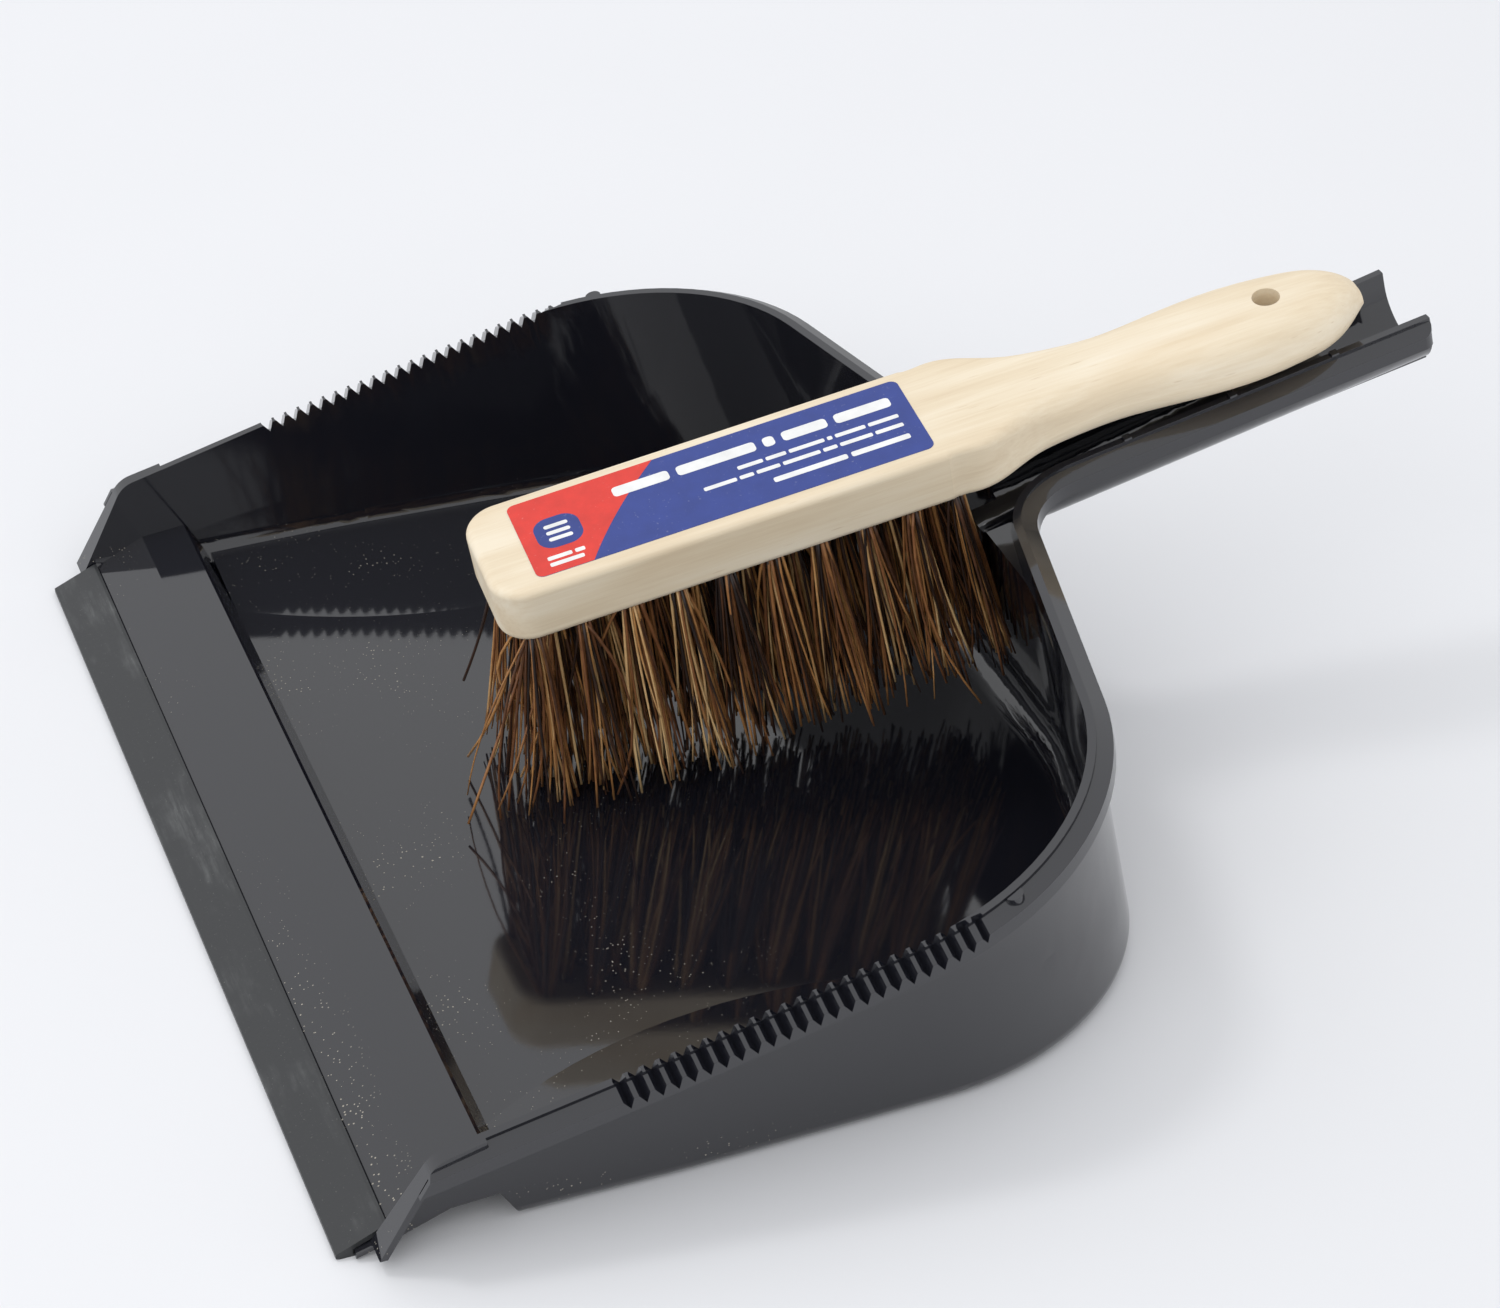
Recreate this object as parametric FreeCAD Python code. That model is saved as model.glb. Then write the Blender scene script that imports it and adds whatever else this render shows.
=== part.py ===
import FreeCAD
import Part

import math
import os

os.makedirs("parts", exist_ok=True)

# Dust pan and hand brush.  X is across the pan, Y runs from the mouth to the handle,
# Z is up.  Shapes are drawn with the lip's front edge at Y = 0 and centred at export.

# --- pan: overall sizes (mm) ---
overall_length = 396.0
lip_width = 340.0
lip_side_margin = 2.5
mouth_half_width = lip_width / 2 + lip_side_margin
side_wall_lean = 4.0
rim_half_width = mouth_half_width + side_wall_lean
back_corner_y = 224.0
back_bow = 27.0
back_flat_y = back_corner_y + back_bow
root_setback = 6.0
back_centre_y = back_flat_y + root_setback
handle_root_half_width = 9.8
handle_end_half_width = 13.8
handle_corner_radius = 5.0
wall = 2.5
floor_thickness = 2.5
side_draft = 0.15

# The rim lies in one plane that climbs towards the handle.
rim_height_at_lip = 26.2
rim_climb = 0.245

# --- pan: corners ---
back_corner_radius = 80.0
root_radius = 26.0
back_centre_radius = 90.0
floor_corner_radius = 6.0
floor_cove_radius = 8.0

# --- pan: rolled rim ---
flange_width = 6.8
flange_drop = 3.4
flange_thickness = 2.2
bead_depth = 4.2
bead_thickness = 1.6

# --- pan: comb teeth in the side rims ---
tooth_count = 24
tooth_pitch = 4.4
comb_start_y = 77.0
groove_depth = 3.2
groove_width = 3.7
comb_base_thickness = 1.2
comb_sink = 0.4
nub_y = 190.0
nub_inset = 2.9
nub_x = rim_half_width - nub_inset
nub_radius = 2.6

# --- pan: front ramp ---
lip_depth = 14.5
ramp_break_y = 30.8
crest_y = 45.0
crest_drop_run = 6.3
ramp_start_z = 6.6
ramp_break_z = 14.0
crest_z = 15.4
wing_foot_y = 9.6
wing_foot_z = 4.0
wing_rake = 0.58
wing_top_radius = 9.0
wing_flange_width = 4.0

# --- pan: raised bands beside the bowed floor panel ---
band_rise = 3.2
band_start_inset = 41.5
band_waist_inset = 67.5
band_start_half_width = rim_half_width - band_start_inset
band_waist_half_width = rim_half_width - band_waist_inset
band_waist_y = 140.0

# --- pan: handle trough ---
trough_depth = 19.0
trough_floor_half_width = 3.0
nibs_from_end = (98.4, 64.2, 30.9)
nib_length = 2.4
nib_height = 0.7

# --- rubber lip ---
tongue_thickness = 1.6
lip_top_thickness = 1.3
lip_sole_thickness = 1.0

# --- brush: wooden block and handle ---
block_length = 152.0
block_half_width = 22.3
block_thickness = 19.0
block_end_radius = 11.0
block_edge_radius = 2.6
brush_length = 281.0
neck_half_width = 13.3
grip_half_width = 16.6
handle_thickness = 21.2
hang_hole_radius = 4.3
hang_hole_from_end = 29.5

# --- brush: label ---
label_length = 124.0
label_width = 35.2
label_thickness = 0.15
label_corner_radius = 2.5

# --- brush: tufts ---
tuft_columns = 10
tuft_column_pitch = 14.8
tuft_rows = 5
tuft_row_pitch = 8.6
tuft_root_radius = 3.0
tuft_hole_clearance = 0.05
tuft_hole_depth = 12.0
tuft_tip_radius = 5.2
bristle_length = 67.2
anchor_radius = 0.6

# --- brush: how it lies in the pan ---
brush_x = -4.7
brush_y = 172.9
handle_above_rim = 12.9395
brush_above_rim = handle_above_rim + handle_thickness
brush_z = rim_height_at_lip + rim_climb * brush_y + brush_above_rim
brush_yaw = -3.1
brush_pitch = 10.4
brush_roll = 5.2

# --- derived sizes ---
climb_angle = math.degrees(math.atan(rim_climb))
climb_stretch = math.hypot(1.0, rim_climb)
groove_reach = flange_width + 1.5
deep = 150.0


def vec(x, y, z):
    return FreeCAD.Vector(x, y, z)


def box(x0, x1, y0, y1, z0, z1):
    return Part.makeBox(x1 - x0, y1 - y0, z1 - z0, vec(x0, y0, z0))


def rounded_wire(points, radii, w):
    """Closed wire through (u, v) points at height w, each corner rounded by its radius."""
    count = len(points)
    starts = []
    ends = []
    middles = []
    for i in range(count):
        p = vec(points[i][0], points[i][1], w)
        before = vec(points[i - 1][0], points[i - 1][1], w)
        after = vec(points[(i + 1) % count][0], points[(i + 1) % count][1], w)
        to_before = (before - p).normalize()
        to_after = (after - p).normalize()
        half = to_before.getAngle(to_after) / 2
        if radii[i] == 0:
            starts.append(p)
            ends.append(p)
            middles.append(None)
            continue
        reach = radii[i] / math.tan(half)
        bisector = (to_before + to_after).normalize()
        centre = p + bisector * (radii[i] / math.sin(half))
        starts.append(p + to_before * reach)
        ends.append(p + to_after * reach)
        middles.append(centre - bisector * radii[i])
    edges = []
    for i in range(count):
        if middles[i] is not None:
            edges.append(Part.Arc(starts[i], middles[i], ends[i]).toShape())
        edges.append(Part.makeLine(ends[i], starts[(i + 1) % count]))
    return Part.Wire(edges)


def prism_x(points, x0, x1, radii=None):
    """Solid of a (y, z) polygon drawn along X."""
    wire = rounded_wire(points, radii or [0] * len(points), x0)
    wire.rotate(vec(0, 0, 0), vec(1, 0, 0), 90)
    wire.rotate(vec(0, 0, 0), vec(0, 0, 1), 90)
    return Part.Face(wire).extrude(vec(x1 - x0, 0, 0))


# Outlines are drawn in the rim plane: u is X, v runs up the climbing rim, w is its normal.
v_mouth = -30.0
v_front_bend = 90.0 * climb_stretch
v_corner = back_corner_y * climb_stretch
v_centre = back_centre_y * climb_stretch
v_back = back_flat_y * climb_stretch
v_end = overall_length * climb_stretch
handle_flare = (handle_end_half_width - handle_root_half_width) / (v_end - v_centre)
v_past_end = v_end + 40.0


def shifted_line(p, q, offset):
    """Line p-q moved sideways, to the right of its direction."""
    dx = q[0] - p[0]
    dy = q[1] - p[1]
    length = math.hypot(dx, dy)
    nx = dy / length * offset
    ny = -dx / length * offset
    return (p[0] + nx, p[1] + ny), (q[0] + nx, q[1] + ny)


def crossing(line_a, line_b):
    (x1, y1), (x2, y2) = line_a
    (x3, y3), (x4, y4) = line_b
    turn = (x1 - x2) * (y3 - y4) - (y1 - y2) * (x3 - x4)
    a = x1 * y2 - y1 * x2
    b = x3 * y4 - y3 * x4
    return ((a * (x3 - x4) - (x1 - x2) * b) / turn, (a * (y3 - y4) - (y1 - y2) * b) / turn)


def half_outline(offset, with_handle, neck=handle_root_half_width, fillet=root_radius):
    """Right-hand half of the rim outline from the mouth to the back, moved outwards."""
    mouth = (mouth_half_width, v_mouth)
    bend = (rim_half_width, v_front_bend)
    corner = (rim_half_width, v_corner)
    root = (handle_root_half_width, v_centre)
    sides = [(mouth, bend), (bend, corner), (corner, root)]
    if with_handle:
        past_end = neck + handle_flare * (v_past_end - v_centre)
        sides.append(((neck, v_centre), (past_end, v_past_end)))
    else:
        sides.append(((20.0, v_back), (0.0, v_back)))
    lines = [shifted_line(p, q, offset) for p, q in sides]
    points = [lines[0][0]]
    radii = [0]
    for first, second in zip(lines, lines[1:]):
        points.append(crossing(first, second))
    radii += [400.0, back_corner_radius + offset]
    if with_handle:
        radii.append(fillet - offset)
        points.append(lines[-1][1])
        radii.append(0)
    else:
        radii.append(back_centre_radius + offset)
    return points, radii


def mirrored_wire(points, radii, w):
    left_points = [(-u, v) for u, v in reversed(points)]
    return rounded_wire(points + left_points, radii + list(reversed(radii)), w)


def outline(offset, w, with_handle):
    points, radii = half_outline(offset, with_handle)
    return mirrored_wire(points, radii, w)


def tub(offset):
    """The basin's solid body: the sides lean in towards the floor, the back is upright
    to the rim plane."""
    top = outline(offset, 0, False)
    matrix = FreeCAD.Matrix()
    matrix.scale(1 - side_draft * deep / rim_half_width, 1, 1)
    bottom = outline(offset, -deep, False).transformGeometry(matrix)
    return Part.makeLoft([bottom, top], True, True)


def straight(offset, w0, w1):
    face = Part.Face(outline(offset, w0, True))
    return face.extrude(vec(0, 0, w1 - w0))


def channel(offset, depth):
    """Round-bottomed trough of the handle, a little wider at its end."""
    sections = []
    for v in (v_centre - 30.0, v_past_end):
        r = handle_root_half_width + handle_flare * (v - v_centre) + offset
        bottom = r - depth
        edges = [
            Part.makeLine(vec(-r, v, 0), vec(r, v, 0)),
            Part.makeLine(vec(r, v, 0), vec(r, v, bottom)),
            Part.Arc(vec(r, v, bottom), vec(0, v, -depth), vec(-r, v, bottom)).toShape(),
            Part.makeLine(vec(-r, v, bottom), vec(-r, v, 0)),
        ]
        sections.append(Part.Wire(edges))
    return Part.makeLoft(sections, True, True)


def root_block(offset, depth):
    """Blend between the basin and the handle trough, narrowing as it goes down."""
    points, radii = half_outline(offset, True, trough_floor_half_width, root_radius / 2)
    bottom = mirrored_wire(points, radii, -depth)
    whole = Part.makeLoft([bottom, outline(offset, 0, True)], True, True)
    return whole.common(box(-70, 70, v_corner + 12.0, v_end + 30.0, -depth, 0))


def sloped_cap(offset_edge, drop, lift):
    """Everything under the rim's outward-sloping top face."""
    low = outline(offset_edge, lift - drop, True)
    high = outline(0, lift, True)
    return Part.makeLoft([low, high], True, True)


def to_world(shape):
    moved = shape.copy()
    moved.rotate(vec(0, 0, 0), vec(1, 0, 0), climb_angle)
    moved.translate(vec(0, 0, rim_height_at_lip))
    return moved


# ---------------------------------------------------------------- pan body

outer = tub(wall)
outer = outer.fuse(root_block(wall, trough_depth))
outer = outer.fuse(channel(wall, trough_depth + wall))
floor_z = floor_thickness
basin = to_world(tub(0)).cut(box(-300, 300, -200, 600, -300, floor_z))
cove_edges = [
    e for e in basin.Edges
    if e.BoundBox.ZMax < floor_z + 0.01 and e.CenterOfMass.y > 10.0
]
basin = basin.makeFillet(floor_cove_radius, cove_edges)
mouth = box(-300, 300, -60, lip_depth, 0, floor_z + floor_cove_radius)
basin = basin.fuse(to_world(tub(0)).common(mouth))
inner = root_block(0, trough_depth - wall)
inner = inner.fuse(channel(0, trough_depth))

flange = sloped_cap(flange_width, flange_drop, 0)
flange = flange.cut(sloped_cap(flange_width, flange_drop, -flange_thickness))
flange = flange.common(straight(flange_width - 0.01, -flange_drop - 8.0, 1.0))
bead_top = -flange_drop
bead = straight(flange_width, bead_top - bead_depth, bead_top)
bead = bead.cut(straight(flange_width - bead_thickness, bead_top - bead_depth, bead_top))

# Thicker stretch of flange that carries the comb.
comb_v0 = (comb_start_y - tooth_pitch / 2) * climb_stretch
comb_v1 = comb_v0 + tooth_count * tooth_pitch * climb_stretch
comb_base = sloped_cap(flange_width, flange_drop, -comb_sink)
comb_base = comb_base.fuse(
    straight(flange_width, -flange_drop - bead_depth, -flange_drop - comb_sink))
comb_base = comb_base.cut(
    sloped_cap(flange_width, flange_drop, -groove_depth - comb_base_thickness))
comb_base = comb_base.common(box(-300, 300, comb_v0, comb_v1, -60, 10))
comb_base = comb_base.cut(straight(wall / 2, -60.0, 10.0))

rim = to_world(bead.fuse(flange).fuse(comb_base))
cavity = basin.fuse(to_world(inner.fuse(straight(0, 0, 30.0))))
outer = to_world(outer)

# Side profile (y, z) of the ramp, the drop behind its crest and the floor.
drop_foot_y = crest_y + 1.2 + crest_drop_run
top_profile = [
    (lip_depth, ramp_start_z),
    (ramp_break_y, ramp_break_z),
    (crest_y, crest_z),
    (crest_y + 1.2, crest_z - 0.8),
    (drop_foot_y, floor_z),
]
ramp_slope = (ramp_break_z - ramp_start_z) / (ramp_break_y - lip_depth)
tongue_y = 5.0
tongue_z = ramp_start_z - ramp_slope * (lip_depth - tongue_y)
above = [(-60.0, tongue_z), (tongue_y, tongue_z)] + top_profile
above += [(600.0, floor_z), (600.0, 300.0), (-60.0, 300.0)]
cavity = cavity.common(prism_x(above, -300, 300))

# Open underside in front of the well, which is one wall thick behind the drop.
under_front_y = drop_foot_y - 1.1
under = [
    (-60.0, -40.0),
    (-60.0, tongue_z - tongue_thickness),
    (tongue_y, tongue_z - tongue_thickness),
    (lip_depth, ramp_start_z - wall),
    (ramp_break_y, ramp_break_z - wall),
    (crest_y - 0.4, crest_z - wall - 0.4),
    (under_front_y, 0.0),
    (under_front_y, -40.0),
]

outer = outer.cut(prism_x(under, -300, 300))
outer = outer.cut(box(-300, 300, -60, 600, -200, 0))
foot_edges = [
    e for e in outer.Edges
    if e.BoundBox.ZMax < 0.01 and e.CenterOfMass.y > under_front_y - 1.0
]
outer = outer.makeFillet(floor_corner_radius, foot_edges)
body = outer.fuse(rim)
body = body.cut(cavity)

# Raked front edges of the side walls.
rim_top = rim_height_at_lip + 0.05
bend_z = (rim_top + rim_climb * (wing_foot_y - wing_rake * wing_foot_z))
bend_z = bend_z / (1 - rim_climb * wing_rake)
bend_y = wing_foot_y + (bend_z - wing_foot_z) * wing_rake
rake = [
    (-60.0, 300.0),
    (-60.0, tongue_z),
    (tongue_y, tongue_z),
    (wing_foot_y, wing_foot_z),
    (bend_y, bend_z),
    (600.0, rim_top + rim_climb * 600.0),
    (600.0, 300.0),
]
rake_radii = [0, 0, 0, 2.0, wing_top_radius, 0, 0]
for side in (-1, 1):
    inside = mouth_half_width - 1.0
    outside = mouth_half_width + wall + wing_flange_width
    edge_strip = [
        (wing_foot_y, wing_foot_z),
        (bend_y, bend_z),
        (bend_y + 14.0, bend_z + 14.0 * rim_climb),
        (bend_y + 14.0, bend_z + 14.0 * rim_climb - flange_thickness),
        (bend_y + 0.6 * flange_thickness, bend_z - flange_thickness),
        (wing_foot_y + flange_thickness, wing_foot_z),
    ]
    ends = sorted((side * inside, side * outside))
    strip = prism_x(edge_strip, ends[0], ends[1])
    body = body.fuse(strip.cut(cavity))
body = body.cut(prism_x(rake, -300, 300, rake_radii))
body = body.cut(box(-300, 300, -60, tongue_y, -40, 60))

# Square end of the handle, with the flange's corners rounded.
end_half = handle_end_half_width + flange_width
end_plan = rounded_wire(
    [(-end_half, v_centre), (end_half, v_centre), (end_half, v_end), (-end_half, v_end)],
    [0, 0, handle_corner_radius, handle_corner_radius], -80)
end_keep = Part.Face(end_plan).extrude(vec(0, 0, 120))
end_cut = box(-100, 100, v_end - 2 * handle_corner_radius, v_end + 120.0, -80, 40)
body = body.cut(to_world(end_cut.cut(end_keep)))

# Side bands: they climb from the bowed edge of the floor panel to the walls.
band_start_y = drop_foot_y
band_end_y = 2 * band_waist_y - band_start_y
band_limit = to_world(tub(-1.0))
for side in (-1, 1):
    inner_edge = Part.Arc(
        vec(side * band_start_half_width, band_start_y, floor_z),
        vec(side * band_waist_half_width, band_waist_y, floor_z),
        vec(side * band_start_half_width, band_end_y, floor_z),
    ).toShape()
    reach = rim_half_width + 6.0
    outer_edge = Part.makeLine(
        vec(side * reach, band_start_y, floor_z + band_rise),
        vec(side * reach, band_end_y, floor_z + band_rise),
    )
    drop = vec(0, 0, -1.8 - band_rise)
    top = Part.makeRuledSurface(inner_edge, outer_edge)
    low_inner = inner_edge.translated(vec(0, 0, -1.8))
    low_outer = outer_edge.translated(drop)
    bottom = Part.makeRuledSurface(low_inner, low_outer)
    faces = [top, bottom]
    faces.append(Part.makeRuledSurface(inner_edge, low_inner))
    faces.append(Part.makeRuledSurface(outer_edge, low_outer))
    for index in (0, -1):
        high_a = inner_edge.Vertexes[index].Point
        high_b = outer_edge.Vertexes[index].Point
        low_a = low_inner.Vertexes[index].Point
        low_b = low_outer.Vertexes[index].Point
        faces.append(Part.Face(Part.makePolygon([high_a, high_b, low_b, low_a, high_a])))
    band = Part.makeSolid(Part.makeShell(faces))
    body = body.fuse(band.common(band_limit))

# Grooves that leave a comb of teeth across each side rim.
slope_tan = flange_drop / flange_width
groove_top = 1.2
for side in (-1, 1):
    grooves = []
    for i in range(tooth_count):
        v = (comb_start_y + i * tooth_pitch) * climb_stretch
        sections = []
        for reach in (-1.0, groove_reach):
            u = side * (rim_half_width + reach)
            w = -slope_tan * reach
            half = groove_width / 2
            corners = [vec(u, v - half, groove_top), vec(u, v + half, groove_top)]
            corners.append(vec(u, v + half, w + comb_sink))
            corners.append(vec(u, v, w - groove_depth))
            corners.append(vec(u, v - half, w + comb_sink))
            sections.append(Part.makePolygon(corners + corners[:1]))
        grooves.append(Part.makeLoft(sections, True, True))
    body = body.cut(to_world(Part.makeCompound(grooves)))

# Small nibs on the inner edges of the handle trough.
for side in (-1, 1):
    for place in [overall_length - back for back in nibs_from_end]:
        v = place * climb_stretch
        u = side * (handle_root_half_width + handle_flare * (v - v_centre) + wall / 2)
        nib = box(u - wall / 2, u + wall / 2, v - nib_length / 2, v + nib_length / 2,
                  -wall, nib_height)
        body = body.fuse(to_world(nib))

for side in (-1, 1):
    nub = Part.makeCylinder(nub_radius, 3.4, vec(side * nub_x, nub_y * climb_stretch, -3.8))
    body = body.fuse(to_world(nub))


parts = {"pan_body": body}

# ---------------------------------------------------------------- rubber lip

lip_profile = [
    (0.0, 0.4),
    (1.0, 0.0),
    (tongue_y + 0.5, 0.0),
    (lip_depth - 0.2, ramp_start_z - wall - lip_sole_thickness),
    (lip_depth - 0.2, ramp_start_z - wall - 0.1),
    (tongue_y - 0.2, tongue_z - tongue_thickness - 0.08),
    (tongue_y - 0.2, tongue_z),
    (lip_depth, ramp_start_z + 0.02),
    (lip_depth, ramp_start_z + lip_top_thickness),
    (lip_depth - 1.0, ramp_start_z + lip_top_thickness),
    (0.0, 1.7),
]
lip_strip = prism_x(lip_profile, -lip_width / 2, lip_width / 2)
parts["rubber_lip"] = lip_strip

# ---------------------------------------------------------------- brush
# Drawn with u along the brush, v across it and w up; the label's middle is the origin.

block_start = -block_length / 2
block_end = block_length / 2
handle_end = block_start + brush_length

joint_u = block_end - 12.0
block = box(block_start, joint_u, -block_half_width, block_half_width, -block_thickness, 0)
front_uprights = [
    e for e in block.Edges
    if abs(e.tangentAt(e.FirstParameter).z) > 0.9 and e.CenterOfMass.x < 0
]
block = block.makeFillet(block_end_radius, front_uprights)
long_edges = [
    e for e in block.Edges
    if abs(e.tangentAt(e.FirstParameter).z) < 0.1 and e.CenterOfMass.x < joint_u - 0.1
]
block = block.makeFillet(block_edge_radius, long_edges)


def handle_section(u, half_width, top, bottom, radius):
    """Rounded rectangle across the brush at distance u."""
    points = [(-half_width, bottom), (half_width, bottom), (half_width, top), (-half_width, top)]
    flat = rounded_wire(points, [radius] * 4, 0)
    matrix = FreeCAD.Matrix(0, 0, 1, u, 1, 0, 0, 0, 0, 1, 0, 0, 0, 0, 0, 1)
    return flat.transformGeometry(matrix)


# Sections of the handle: (distance from the block's end, half width, top, bottom, edge radius).
edge = block_edge_radius
round_edge = 0.43 * handle_thickness
deep_z = -handle_thickness
shoulder = [
    (-12.0, block_half_width, 0.0, -block_thickness, edge),
    (-4.0, block_half_width, 0.0, -block_thickness, edge),
    (2.0, block_half_width - 0.4, 0.0, -block_thickness, edge + 0.4),
    (10.0, block_half_width - 3.3, 0.0, -block_thickness - 0.2, edge + 1.4),
    (18.0, neck_half_width + 2.8, 0.0, -block_thickness - 0.6, edge + 2.9),
    (30.0, neck_half_width + 1.3, 0.0, -block_thickness - 1.4, 8.0),
]
grip = [
    (46.0, neck_half_width, 0.0, deep_z, round_edge - 0.2),
    (64.0, neck_half_width + 1.7, 0.0, deep_z, round_edge),
]
tip = [
    (-38.0, grip_half_width, 0.0, deep_z, round_edge),
    (-24.0, grip_half_width - 1.4, -0.1, deep_z + 0.3, round_edge),
    (-12.0, grip_half_width - 4.4, -0.8, deep_z + 1.4, round_edge - 0.9),
    (-4.0, grip_half_width - 9.0, -3.0, deep_z + 4.2, 6.6),
    (0.0, 5.0, -7.0, deep_z + 8.4, 3.4),
]
sections = [handle_section(block_end + u, *rest) for u, *rest in shoulder + grip]
sections += [handle_section(handle_end + u, *rest) for u, *rest in tip]
handle = Part.makeLoft(sections, True, False)
wood = block.fuse(handle)
hole_u = handle_end - hang_hole_from_end
wood = wood.cut(Part.makeCylinder(hang_hole_radius, 60, vec(hole_u, 0, -45), vec(0, 0, 1)))

tuft_places = []
for row in range(tuft_rows):
    staggered = row % 2 == 1
    columns = tuft_columns - 1 if staggered else tuft_columns
    first = -(columns - 1) / 2 * tuft_column_pitch
    for column in range(columns):
        u = first + column * tuft_column_pitch
        v = (row - (tuft_rows - 1) / 2) * tuft_row_pitch
        tuft_places.append((row + 1, column + 1, u, v))

hole_floor = -block_thickness + tuft_hole_depth
hole_radius = tuft_root_radius + tuft_hole_clearance
holes = []
anchors = []
for row, column, u, v in tuft_places:
    holes.append(Part.makeCylinder(hole_radius, tuft_hole_depth + 1.0,
                                   vec(u, v, -block_thickness - 1.0), vec(0, 0, 1)))
    anchor_z = hole_floor - anchor_radius - 0.05
    anchors.append(Part.makeCylinder(anchor_radius, 5.0, vec(u - 2.5, v, anchor_z), vec(1, 0, 0)))
    root_top = anchor_z - anchor_radius - 0.05
    root = Part.makeCylinder(tuft_root_radius, root_top + block_thickness,
                             vec(u, v, -block_thickness), vec(0, 0, 1))
    fan = Part.makeCone(tuft_tip_radius, tuft_root_radius, bristle_length,
                        vec(u, v, -block_thickness - bristle_length), vec(0, 0, 1))
    name = "tuft_row%d_%02d" % (row, column)
    parts[name] = root.fuse(fan).removeSplitter()
wood = wood.cut(Part.makeCompound(holes))
parts["brush_block"] = wood.removeSplitter()
parts["tuft_anchors"] = Part.makeCompound(anchors)

label = box(-label_length / 2, label_length / 2, -label_width / 2, label_width / 2,
            0, label_thickness)
label_uprights = [e for e in label.Edges if abs(e.tangentAt(e.FirstParameter).z) > 0.9]
parts["block_label"] = label.makeFillet(label_corner_radius, label_uprights)

# Lay the brush in the pan: u becomes +Y, then it's tilted, turned and moved.
for name, shape in parts.items():
    if name in ("pan_body", "rubber_lip"):
        continue
    placed = shape.copy()
    placed.rotate(vec(0, 0, 0), vec(0, 0, 1), 90)
    placed.rotate(vec(0, 0, 0), vec(0, 1, 0), brush_roll)
    placed.rotate(vec(0, 0, 0), vec(1, 0, 0), brush_pitch)
    placed.rotate(vec(0, 0, 0), vec(0, 0, 1), brush_yaw)
    placed.translate(vec(brush_x, brush_y, brush_z))
    parts[name] = placed


middle_y = body.optimalBoundingBox().YMax / 2
for name, shape in parts.items():
    shape.translate(vec(0, -middle_y, 0))
    shape.exportStep("parts/%s.step" % name)
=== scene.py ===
import math
import random

import bmesh
import bpy
import numpy as np
from mathutils import Matrix, Vector
from mathutils.bvhtree import BVHTree


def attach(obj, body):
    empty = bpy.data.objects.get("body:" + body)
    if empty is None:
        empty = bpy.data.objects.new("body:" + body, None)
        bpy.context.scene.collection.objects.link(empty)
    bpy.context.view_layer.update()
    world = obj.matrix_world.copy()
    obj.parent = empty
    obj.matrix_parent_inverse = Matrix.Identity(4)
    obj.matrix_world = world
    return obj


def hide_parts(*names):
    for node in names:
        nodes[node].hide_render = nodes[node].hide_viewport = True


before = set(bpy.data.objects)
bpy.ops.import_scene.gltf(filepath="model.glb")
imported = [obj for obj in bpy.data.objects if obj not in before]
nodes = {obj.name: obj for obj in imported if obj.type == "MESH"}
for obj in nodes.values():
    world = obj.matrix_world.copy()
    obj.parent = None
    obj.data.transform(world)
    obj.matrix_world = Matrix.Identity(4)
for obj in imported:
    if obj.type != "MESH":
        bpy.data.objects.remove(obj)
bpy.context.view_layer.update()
MM = 0.001

# ------------------------------------------------------------------ brush frame
# The brush's own axes, read from its CAD nodes: u along it, v across it, w up through it.


def node_points(name):
    return np.array([v.co for v in nodes[name].data.vertices], float)


def tuft_ends(name):
    """Centres of a tuft's upper and lower end."""
    points = node_points(name)
    middle = points.mean(0)
    axis = np.linalg.svd(points - middle, full_matrices=False)[2][0]
    axis = axis if axis[2] > 0 else -axis
    along = (points - middle) @ axis
    span = np.ptp(along)
    top = points[along > along.max() - 0.01 * span].mean(0)
    bottom = points[along < along.min() + 0.01 * span].mean(0)
    return top, bottom


TUFTS = sorted(n for n in nodes if n.startswith("tuft_row"))
ends = {name: tuft_ends(name) for name in TUFTS}
w_axis = sum((Vector(top - bottom) for top, bottom in ends.values()), Vector()).normalized()
u_axis = Vector(ends["tuft_row3_10"][0] - ends["tuft_row3_01"][0]).normalized()
v_axis = w_axis.cross(u_axis).normalized()
u_axis = v_axis.cross(w_axis).normalized()
label_points = node_points("block_label")
label_middle = Vector((label_points.min(0) + label_points.max(0)) / 2)
FILM = 0.15
origin = label_middle - w_axis * (FILM * MM / 2)
turn = Matrix((u_axis, v_axis, w_axis)).transposed()
BRUSH = Matrix.Translation(origin) @ turn.to_4x4()


# ------------------------------------------------------------------ node helpers

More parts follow.
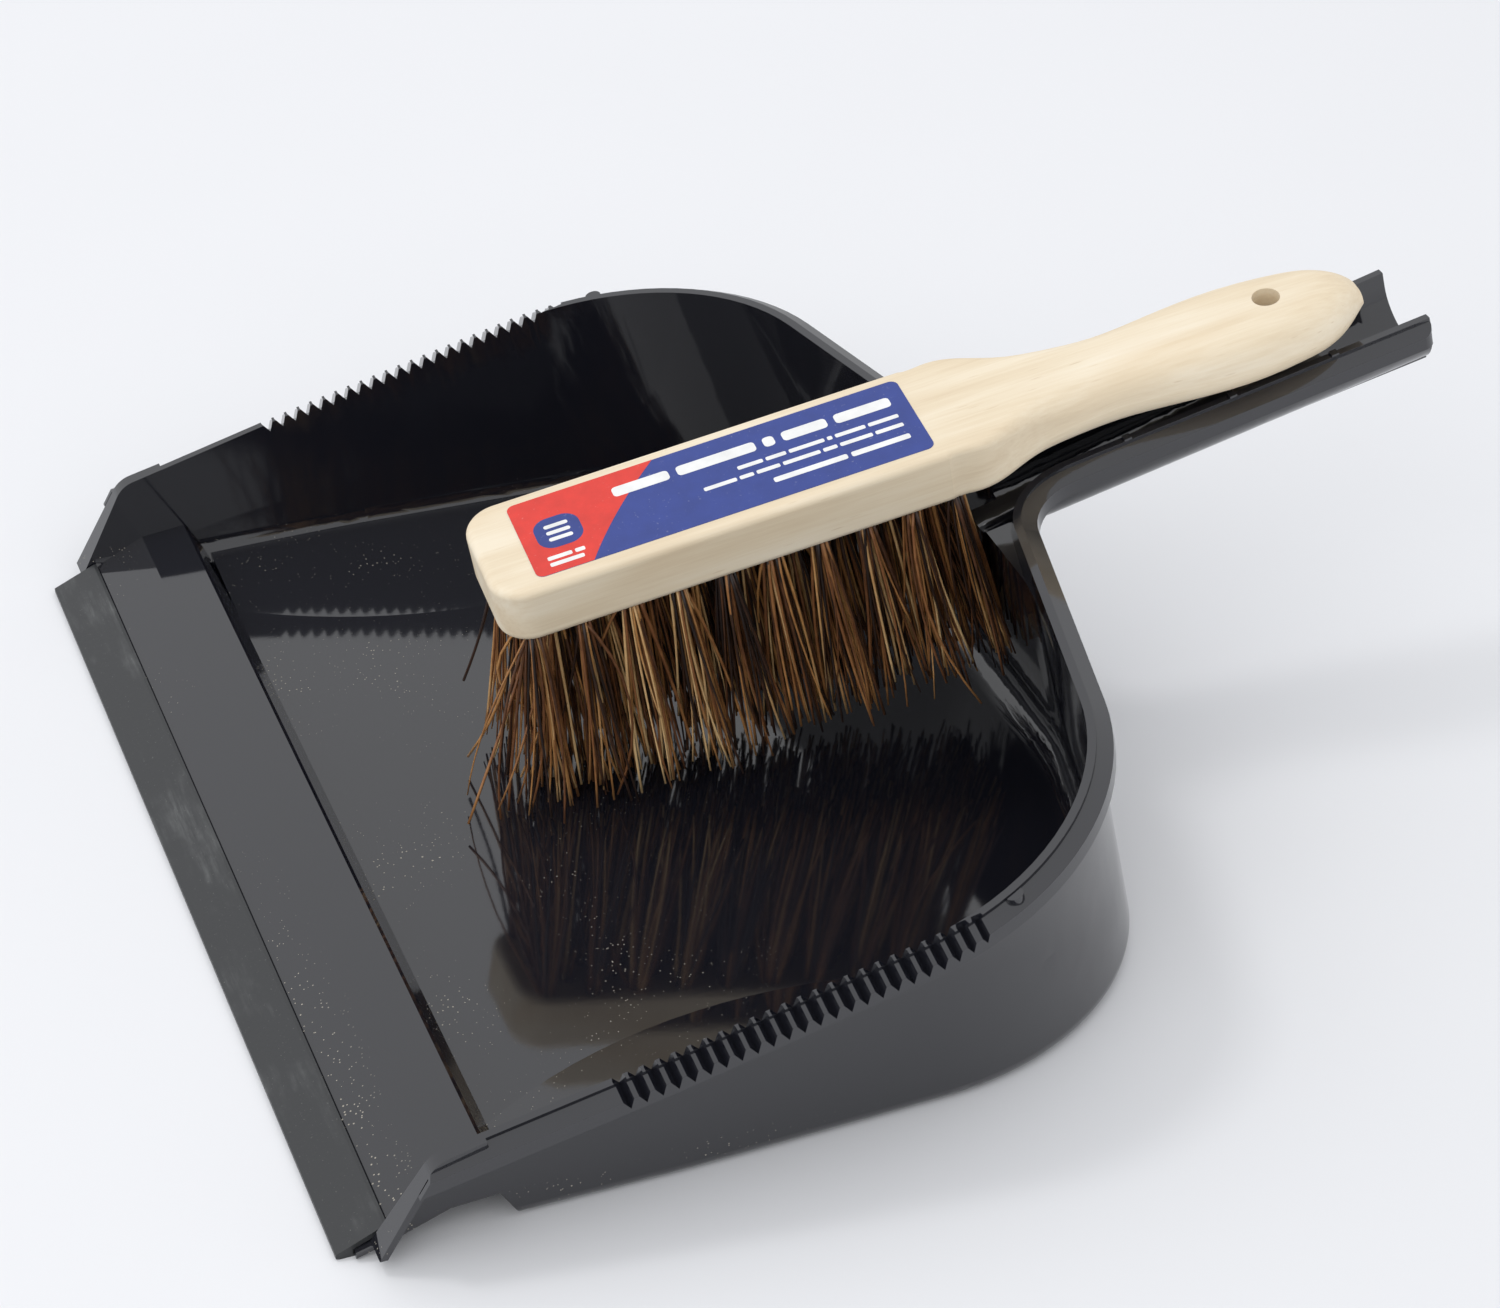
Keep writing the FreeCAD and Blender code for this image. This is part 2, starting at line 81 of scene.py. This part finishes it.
class Nodes:
    """Short way to build a material's node tree."""

    def __init__(self, name):
        self.material = bpy.data.materials.new(name)
        self.material.use_nodes = True
        self.tree = self.material.node_tree
        self.shader = self.tree.nodes["Principled BSDF"]

    def add(self, kind, inputs=(), **settings):
        node = self.tree.nodes.new("ShaderNode" + kind)
        for key, value in settings.items():
            setattr(node, key, value)
        for key, value in dict(inputs).items():
            self.put(node, key, value)
        return node

    def put(self, node, key, value):
        socket = node.inputs[key]
        if isinstance(value, bpy.types.NodeSocket):
            self.tree.links.new(value, socket)
        else:
            socket.default_value = value

    def set(self, **values):
        for key, value in values.items():
            self.put(self.shader, key.replace("_", " "), value)

    def coords(self, matrix=None, scale=(1, 1, 1)):
        """Object coordinates, in the axes of matrix if one is given, then scaled."""
        out = self.add("TexCoord").outputs["Object"]
        if matrix is not None:
            out = self.add("Mapping", {
                "Vector": out,
                "Location": matrix.to_translation(),
                "Rotation": matrix.to_euler(),
            }, vector_type="TEXTURE").outputs["Vector"]
        return self.add("Mapping", {"Vector": out, "Scale": scale}).outputs["Vector"]

    def noise(self, vector, scale, detail=3.0, rough=0.5, distortion=0.0):
        return self.add("TexNoise", {
            "Vector": vector, "Scale": scale, "Detail": detail,
            "Roughness": rough, "Distortion": distortion,
        }).outputs["Fac"]

    def ramp(self, value, stops):
        node = self.add("ValToRGB", {"Fac": value})
        ramp = node.color_ramp
        while len(ramp.elements) < len(stops):
            ramp.elements.new(0.5)
        for element, (place, colour) in zip(ramp.elements, stops):
            element.position = place
            element.color = (*colour, 1) if len(colour) == 3 else colour
        return node.outputs["Color"]

    def math(self, operation, a, b=0.0, c=0.0):
        node = self.add("Math", operation=operation)
        for index, value in enumerate((a, b, c)):
            self.put(node, index, value)
        return node.outputs[0]

    def span(self, value, low, high, to_low=0.0, to_high=1.0, smooth=True):
        kind = "SMOOTHSTEP" if smooth else "LINEAR"
        return self.add("MapRange", {
            "Value": value, "From Min": low, "From Max": high,
            "To Min": to_low, "To Max": to_high,
        }, interpolation_type=kind).outputs["Result"]

    def mix(self, factor, a, b, blend="MIX"):
        node = self.add("Mix", data_type="RGBA", blend_type=blend)
        self.put(node, 0, factor)
        for index, value in ((6, a), (7, b)):
            if not isinstance(value, bpy.types.NodeSocket):
                value = (*value, 1)
            self.put(node, index, value)
        return node.outputs[2]

    def bump(self, height, strength, distance, normal=None):
        inputs = {"Height": height, "Strength": strength, "Distance": distance}
        if normal is not None:
            inputs["Normal"] = normal
        return self.add("Bump", inputs).outputs["Normal"]


def grey(value):
    return (value, value, value)


# ------------------------------------------------------------------ materials

def pan_plastic():
    m = Nodes("pan_plastic_gloss")
    coords = m.coords()
    waves = m.noise(coords, 22.0, 2.0)
    peel = m.noise(coords, 420.0, 2.0)
    y, z = m.add("SeparateXYZ", {"Vector": coords}).outputs[1:3]
    # Fine dust, thickest on the floor near the ramp.
    cells = m.add("TexVoronoi", {"Vector": coords, "Scale": 620.0, "Randomness": 1.0})
    size = m.noise(coords, 60.0, 1.0)
    patch = m.noise(coords, 14.0, 3.0, 0.6)
    near_ramp = m.span(y, 0.0, -0.12)
    amount = m.math("MULTIPLY", m.span(patch, 0.35, 0.65), near_ramp)
    reach = m.math("MULTIPLY_ADD", amount, 0.24, 0.03)
    low = m.span(z, 0.014, 0.008)
    speck = m.math("LESS_THAN", cells.outputs["Distance"], m.math("MULTIPLY", reach, size))
    speck = m.math("MULTIPLY", speck, low)
    haze = m.math("MULTIPLY", m.noise(m.coords(scale=(1, 0.25, 1)), 90.0, 4.0, 0.7), 0.035)
    m.set(
        Base_Color=m.mix(speck, (0.0086, 0.009, 0.0132), (0.36, 0.33, 0.27)),
        Roughness=m.math("ADD", m.math("MULTIPLY_ADD", speck, 0.6, 0.045), haze),
        IOR=1.5,
        Normal=m.bump(peel, 0.08, 0.00005, m.bump(waves, 0.25, 0.0003)),
    )
    m.shader.inputs["Specular IOR Level"].default_value = 0.95
    return m.material


def lip_rubber():
    m = Nodes("lip_rubber_scuffed")
    coords = m.coords()
    clouds = m.noise(m.coords(scale=(1, 2.2, 2.2)), 16.0, 5.0, 0.62)
    smear = m.noise(m.coords(scale=(0.35, 3.0, 3.0)), 120.0, 4.0, 0.7)
    grains = m.noise(coords, 1500.0, 2.0, 0.6)
    scuff = m.math("MULTIPLY", m.span(clouds, 0.5, 0.72), m.span(smear, 0.35, 0.75))
    colour = m.mix(scuff, (0.024, 0.0255, 0.0275), (0.15, 0.155, 0.155))
    specks = m.span(grains, 0.68, 0.74)
    colour = m.mix(m.math("MULTIPLY", specks, 0.5), colour, (0.2, 0.2, 0.19))
    m.set(
        Base_Color=colour,
        Roughness=m.math("MULTIPLY_ADD", scuff, 0.25, 0.42),
        IOR=1.5,
        Normal=m.bump(m.noise(coords, 700.0, 3.0), 0.25, 0.0001),
    )
    return m.material


def beech():
    m = Nodes("beech_wood")
    grain_coords = m.coords(BRUSH, (0.14, 1.0, 1.0))
    bands = m.noise(grain_coords, 80.0, 3.0, 0.5, 0.2)
    fine_coords = m.coords(BRUSH, (0.035, 1.0, 1.0))
    fibres = m.noise(fine_coords, 900.0, 4.0, 0.65)
    tone = m.math("MULTIPLY_ADD", fibres, 0.3, m.math("MULTIPLY", bands, 0.7))
    colour = m.ramp(tone, [
        (0.3, (0.70, 0.565, 0.39)),
        (0.46, (0.79, 0.67, 0.49)),
        (0.56, (0.84, 0.735, 0.565)),
        (0.72, (0.885, 0.80, 0.65)),
    ])
    # Short dark ray flecks along the grain.
    fleck_coords = m.coords(BRUSH, (0.11, 1.0, 1.0))
    cells = m.add("TexVoronoi", {"Vector": fleck_coords, "Scale": 520.0, "Randomness": 1.0})
    fleck = m.span(cells.outputs["Distance"], 0.17, 0.06)
    fleck = m.math("MULTIPLY", fleck, m.span(m.noise(grain_coords, 90.0, 2.0), 0.42, 0.62))
    colour = m.mix(m.math("MULTIPLY", fleck, 0.34), colour, (0.52, 0.36, 0.2))
    # A few warm patches.
    patches = m.noise(m.coords(BRUSH, (0.5, 1.0, 1.0)), 22.0, 2.0)
    colour = m.mix(m.span(patches, 0.56, 0.78, 0.0, 0.3), colour, (0.76, 0.6, 0.4))
    m.set(
        Base_Color=colour,
        Roughness=m.math("MULTIPLY_ADD", fibres, 0.2, 0.45),
        IOR=1.45,
        Normal=m.bump(fibres, 0.22, 0.0001, m.bump(fleck, -0.3, 0.0001)),
    )
    m.shader.inputs["Specular IOR Level"].default_value = 0.35
    return m.material


def bristle():
    m = Nodes("bristle_fibre")
    shade = m.add("Attribute", attribute_name="shade").outputs["Fac"]
    along = m.add("Attribute", attribute_name="along").outputs["Fac"]
    mottle = m.noise(m.coords(), 260.0, 2.0, 0.6)
    value = m.math("ADD", shade, m.math("MULTIPLY_ADD", mottle, 0.3, -0.15))
    value = m.math("ADD", value, m.span(along, 0.35, 1.0, -0.05, 0.1))
    colour = m.ramp(value, [
        (0.0, (0.02, 0.012, 0.01)),
        (0.25, (0.06, 0.026, 0.014)),
        (0.5, (0.24, 0.095, 0.035)),
        (0.75, (0.52, 0.255, 0.085)),
        (1.0, (0.82, 0.56, 0.27)),
    ])
    m.set(
        Base_Color=colour,
        Roughness=m.math("MULTIPLY_ADD", mottle, 0.25, 0.3),
        IOR=1.5,
        Normal=m.bump(m.noise(m.coords(), 2600.0, 2.0), 0.4, 0.0001),
    )
    return m.material


def ink(name, colour, roughness=0.32):
    """Printed label film: flat colour, faint mottle, satin varnish."""
    m = Nodes(name)
    coords = m.coords()
    mottle = m.noise(coords, 160.0, 4.0, 0.6)
    dust = m.span(m.noise(coords, 900.0, 2.0), 0.66, 0.78)
    shades = [tuple(c * k for c in colour) for k in (0.9, 1.06)]
    tint = m.ramp(mottle, [(0.3, shades[0]), (0.7, shades[1])])
    m.set(
        Base_Color=m.mix(m.math("MULTIPLY", dust, 0.12), tint, grey(0.8)),
        Roughness=m.math("MULTIPLY_ADD", mottle, 0.12, roughness),
        IOR=1.5,
        Normal=m.bump(m.noise(coords, 120.0, 2.0), 0.08, 0.0002),
    )
    return m.material


def anchor_wire():
    m = Nodes("anchor_wire_steel")
    drawn = m.noise(m.coords(scale=(1, 0.05, 1)), 900.0, 2.0)
    m.set(
        Base_Color=m.ramp(drawn, [(0.3, grey(0.45)), (0.7, grey(0.65))]),
        Roughness=m.math("MULTIPLY_ADD", drawn, 0.2, 0.25),
        Metallic=1.0,
    )
    return m.material


def paint(name, material):
    for slot in nodes[name].material_slots:
        slot.material = material


paint("pan_body", pan_plastic())
paint("rubber_lip", lip_rubber())
paint("brush_block", beech())
paint("tuft_anchors", anchor_wire())


# ------------------------------------------------------------------ bristles

STRANDS = 30
RINGS = 9
SIDES = 5
PAN_CLEAR = 0.8 * MM
# Shares of its own lean and length that a fibre tries in turn, until it clears the pan.
TRIES = (
    (1.0, 1.0), (0.8, 1.0), (0.6, 1.0), (0.4, 1.0), (0.2, 1.0),
    (0.0, 1.0), (0.0, 0.9), (0.0, 0.8), (0.0, 0.65), (0.0, 0.5),
)
U_REACH = 67.0
V_REACH = 17.2
ROOT_W = -17.0
STRAY_SHARE = 0.07
SHORT_SHARE = 0.06
BUNDLE_RADIUS = 2.5
bristle_material = bristle()


def draw_strand(rng, u0, v0):
    """Random shape of one fibre: where it starts, how it leans, bows, waves, how thick."""
    angle = rng.uniform(0, 2 * math.pi)
    radius = math.sqrt(rng.random())
    du = math.cos(angle) * radius
    dv = math.sin(angle) * radius
    end = u0 / U_REACH
    edge = v0 / V_REACH
    spread = rng.gauss(5.4, 1.3)
    lean_u = du * spread + 7.0 * end ** 5 + 2.2 * end + rng.gauss(0, 2.8)
    lean_v = dv * spread + 3.2 * edge + rng.gauss(0, 2.2)
    bow_u = rng.gauss(0, 2.0)
    bow_v = rng.gauss(0, 2.0)
    if rng.random() < STRAY_SHARE:
        lean_u += rng.gauss(0, 9.0) + 9.0 * end ** 3
        lean_v += rng.gauss(0, 7.0)
        bow_u += rng.gauss(0, 7.0)
        bow_v += rng.gauss(0, 5.0)
    return {
        "start": (u0 + du * BUNDLE_RADIUS, v0 + dv * BUNDLE_RADIUS),
        "lean": (lean_u, lean_v),
        "bow": (bow_u, bow_v),
        "phase": rng.uniform(0, 2 * math.pi),
        "wobble": rng.uniform(0.1, 0.5),
        "thick": min(0.7, max(0.28, rng.gauss(0.5, 0.11))),
    }


def strand_line(strand, length, pull):
    """Centre line and radii of a fibre, in millimetres of the brush frame."""
    lean_u, lean_v = (value * pull for value in strand["lean"])
    bow_u, bow_v = (value * pull for value in strand["bow"])
    phase = strand["phase"]
    points = []
    radii = []
    for i in range(RINGS):
        t = i / (RINGS - 1)
        out = t ** 1.12
        arch = 4 * t * (1 - t)
        wave = strand["wobble"] * t * math.sin(phase + 5.0 * t)
        u = strand["start"][0] + lean_u * out + bow_u * arch * 0.6 + wave
        v = strand["start"][1] + lean_v * out + bow_v * arch * 0.6 + wave * 0.7
        drop = (lean_u ** 2 + lean_v ** 2) / (2 * length) * t
        points.append(Vector((u, v, ROOT_W - length * t + drop)))
        radii.append(strand["thick"] * (1.0 - 0.35 * t) * (1 + 0.08 * math.sin(phase + 9 * t)))
    return points, radii


pan_mesh = nodes["pan_body"].data
pan_surface = BVHTree.FromPolygons(
    [v.co.copy() for v in pan_mesh.vertices], [tuple(p.vertices) for p in pan_mesh.polygons])


def clear_of_pan(points):
    """True if a fibre neither crosses the pan nor comes within PAN_CLEAR of it."""
    for a, b in zip(points, points[1:]):
        step = b - a
        if pan_surface.ray_cast(a, step.normalized(), step.length)[0] is not None:
            return False
    return all(pan_surface.find_nearest(p, PAN_CLEAR)[0] is None for p in points)


def tube(bm, layers, points, radii, shade):
    """A closed thin tube along points, with its shade and place along it stored."""
    shade_layer, along_layer = layers
    rings = []
    side = Vector((1, 0, 0))
    for i, (p, r) in enumerate(zip(points, radii)):
        before = points[max(i - 1, 0)]
        after = points[min(i + 1, len(points) - 1)]
        axis = (after - before).normalized()
        side = (side - axis * side.dot(axis)).normalized()
        other = axis.cross(side)
        ring = []
        for k in range(SIDES):
            a = 2 * math.pi * k / SIDES
            vert = bm.verts.new(p + (side * math.cos(a) + other * math.sin(a)) * r)
            vert[shade_layer] = shade
            vert[along_layer] = i / (len(points) - 1)
            ring.append(vert)
        rings.append(ring)
    for a, b in zip(rings, rings[1:]):
        for k in range(SIDES):
            bm.faces.new((a[k], a[(k + 1) % SIDES], b[(k + 1) % SIDES], b[k]))
    bm.faces.new(list(reversed(rings[0])))
    bm.faces.new(rings[-1])


def make_object(name, bm, material, body):
    mesh = bpy.data.meshes.new(name)
    bm.normal_update()
    bm.to_mesh(mesh)
    bm.free()
    mesh.materials.append(material)
    obj = bpy.data.objects.new(name, mesh)
    bpy.context.scene.collection.objects.link(obj)
    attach(obj, body)
    return obj


to_brush = BRUSH.inverted()
for name in TUFTS:
    rng = random.Random(name)
    top, bottom = (to_brush @ Vector(p) / MM for p in ends[name])
    reach = ROOT_W - bottom.z
    bm = bmesh.new()
    layers = (bm.verts.layers.float.new("shade"), bm.verts.layers.float.new("along"))
    tuft_tone = rng.gauss(0.0, 0.05)
    for _ in range(STRANDS):
        length = reach + rng.gauss(-0.8, 2.4)
        if rng.random() < SHORT_SHARE:
            length -= rng.uniform(4, 22)
        strand = draw_strand(rng, top.x, top.y)
        for lean_share, length_share in TRIES:
            points, radii = strand_line(strand, length * length_share, lean_share)
            points = [BRUSH @ (p * MM) for p in points]
            if clear_of_pan(points):
                break
        else:
            raise RuntimeError(name + ": a fibre cannot clear the pan")
        shade = min(0.97, max(0.02, rng.gauss(0.48, 0.33) + tuft_tone))
        tube(bm, layers, points, [r * MM for r in radii], shade)
    for face in bm.faces:
        face.smooth = len(face.verts) == 4
    tuft = make_object("bristles_" + name[5:], bm, bristle_material, "brush")
    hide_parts(name)


# ------------------------------------------------------------------ label

LABEL_U = 62.0
LABEL_V = 17.6
INK = 0.03
LABEL_CORNER = 2.5
FIRST_INK = FILM + INK
SECOND_INK = FILM + 2 * INK
THIRD_INK = FILM + 3 * INK


def rounded_loop(u0, u1, v0, v1, radius, steps=6):
    loop = []
    corners = [(u1, v1, 0), (u0, v1, 90), (u0, v0, 180), (u1, v0, 270)]
    for u, v, start in corners:
        cu = u - radius if u == u1 else u + radius
        cv = v - radius if v == v1 else v + radius
        for i in range(steps + 1):
            a = math.radians(start + 90 * i / steps)
            loop.append((cu + radius * math.cos(a), cv + radius * math.sin(a)))
    return loop


def plate(bm, loop, low, high):
    """A flat plate between heights low and high, in millimetres of the brush frame."""
    bottom = [bm.verts.new(BRUSH @ (Vector((u, v, low)) * MM)) for u, v in loop]
    top = [bm.verts.new(BRUSH @ (Vector((u, v, high)) * MM)) for u, v in loop]
    bm.faces.new(top)
    bm.faces.new(list(reversed(bottom)))
    for i in range(len(loop)):
        j = (i + 1) % len(loop)
        bm.faces.new((bottom[i], bottom[j], top[j], top[i]))


def border(t):
    """u of the red field's slanted edge at share t of the label's width."""
    return -44.6 + 28.8 * t - 7.0 * t * (1 - t)


bm = bmesh.new()
plate(bm, rounded_loop(-LABEL_U, LABEL_U, -LABEL_V, LABEL_V, LABEL_CORNER), 0.0, FILM)
film = make_object("label_film_blue", bm, ink("label_blue", (0.024, 0.05, 0.26)),
                   "brush")
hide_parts("block_label")

bm = bmesh.new()
left_loop = rounded_loop(-LABEL_U, 0, -LABEL_V, LABEL_V, LABEL_CORNER)[7:21]
slant = [(border(i / 12), -LABEL_V + 2 * LABEL_V * i / 12) for i in range(13)]
plate(bm, left_loop + slant, FILM, FIRST_INK)
make_object("label_field_red", bm, ink("label_red", (0.72, 0.036, 0.022)),
            "brush")


def words(bm, start, end, v, height, lengths):
    """A line of plain bars, one for each word, that stand for print."""
    gap = height * 0.55
    total = sum(lengths)
    room = (end - start) - gap * (len(lengths) - 1)
    u = start
    for length in lengths:
        width = room * length / total
        loop = rounded_loop(u, u + width, v - height / 2, v + height / 2, height * 0.28, 3)
        plate(bm, loop, FIRST_INK, SECOND_INK)
        u += width + gap


bm = bmesh.new()
# Lines of print: (start, end, place across, bar height, word lengths).
PRINT_LINES = [
    (-31.0, 57.0, 8.6, 4.5, [5, 7, 1, 4, 5]),
    (6.0, 57.0, 1.2, 1.7, [5, 4, 7, 1, 6, 6]),
    (-6.0, 57.0, -3.3, 1.7, [7, 3, 5, 8, 3, 7, 6]),
    (14.0, 57.0, -9.2, 2.3, [10, 8]),
    (-57.0, -45.5, -11.0, 1.7, [5, 2]),
    (-57.0, -46.5, -13.9, 1.7, [7]),
]
for line in PRINT_LINES:
    words(bm, *line)
make_object("label_print_bars", bm, ink("label_white", (0.86, 0.86, 0.85)),
            "brush")

bm = bmesh.new()
plate(bm, rounded_loop(-57.5, -43.5, -7.0, 7.0, 5.0, 8), FIRST_INK, SECOND_INK)
make_object("label_badge", bm, ink("label_badge_blue", (0.022, 0.045, 0.24)),
            "brush")
bm = bmesh.new()
for k in range(3):
    v = 3.0 - 3.0 * k
    plate(bm, rounded_loop(-54.2, -46.8, v - 0.8, v + 0.8, 0.7, 4),
          SECOND_INK, THIRD_INK)
make_object("label_badge_bars", bm, ink("label_badge_white", (0.86, 0.86, 0.85)),
            "brush")

# ------------------------------------------------------------------ stage


def stage_floor():
    bm = bmesh.new()
    bmesh.ops.create_grid(bm, x_segments=8, y_segments=8, size=6.0)
    mesh = bpy.data.meshes.new("studio_floor")
    bm.to_mesh(mesh)
    bm.free()
    m = Nodes("studio_floor")
    clouds = m.noise(m.coords(), 3.0, 3.0)
    m.set(
        Base_Color=m.ramp(clouds, [(0.3, (0.80, 0.805, 0.825)), (0.7, (0.815, 0.82, 0.84))]),
        Roughness=0.75,
    )
    mesh.materials.append(m.material)
    floor = bpy.data.objects.new("studio_floor", mesh)
    bpy.context.scene.collection.objects.link(floor)


stage_floor()


def soft_light(name, place, target, size, power):
    data = bpy.data.lights.new(name, "AREA")
    data.shape = "RECTANGLE"
    data.size, data.size_y = size
    data.energy = power
    light = bpy.data.objects.new(name, data)
    light.location = place
    direction = Vector(target) - Vector(place)
    light.rotation_euler = direction.to_track_quat("-Z", "Y").to_euler()
    bpy.context.scene.collection.objects.link(light)


LIT_POINT = (0, 0, 0.05)
KEY_WATTS = 11.0
FILL_WATTS = 14.0
soft_light("key", (-0.9, -1.0, 2.6), LIT_POINT, (0.5, 0.6), KEY_WATTS)
soft_light("fill", (1.6, -1.6, 1.9), LIT_POINT, (2.0, 1.6), FILL_WATTS)

world = bpy.data.worlds.new("studio")
bpy.context.scene.world = world
world.use_nodes = True
surround = world.node_tree.nodes["Background"]
surround.inputs["Color"].default_value = (0.97, 0.98, 1.0, 1)
surround.inputs["Strength"].default_value = 0.93

scene = bpy.context.scene
scene.view_settings.view_transform = "Standard"
scene.view_settings.look = "None"

# ------------------------------------------------------------------ camera

camera_data = bpy.data.cameras.new("camera")
camera_data.sensor_width = 36.0
camera_data.lens = 94.42
camera = bpy.data.objects.new("camera", camera_data)
camera.location = (0.9228, -0.3687, 0.7162)
aim = Vector((-0.0556, 0.0011, 0.0)) - camera.location
camera.rotation_euler = aim.to_track_quat("-Z", "Y").to_euler()
scene.collection.objects.link(camera)
scene.camera = camera
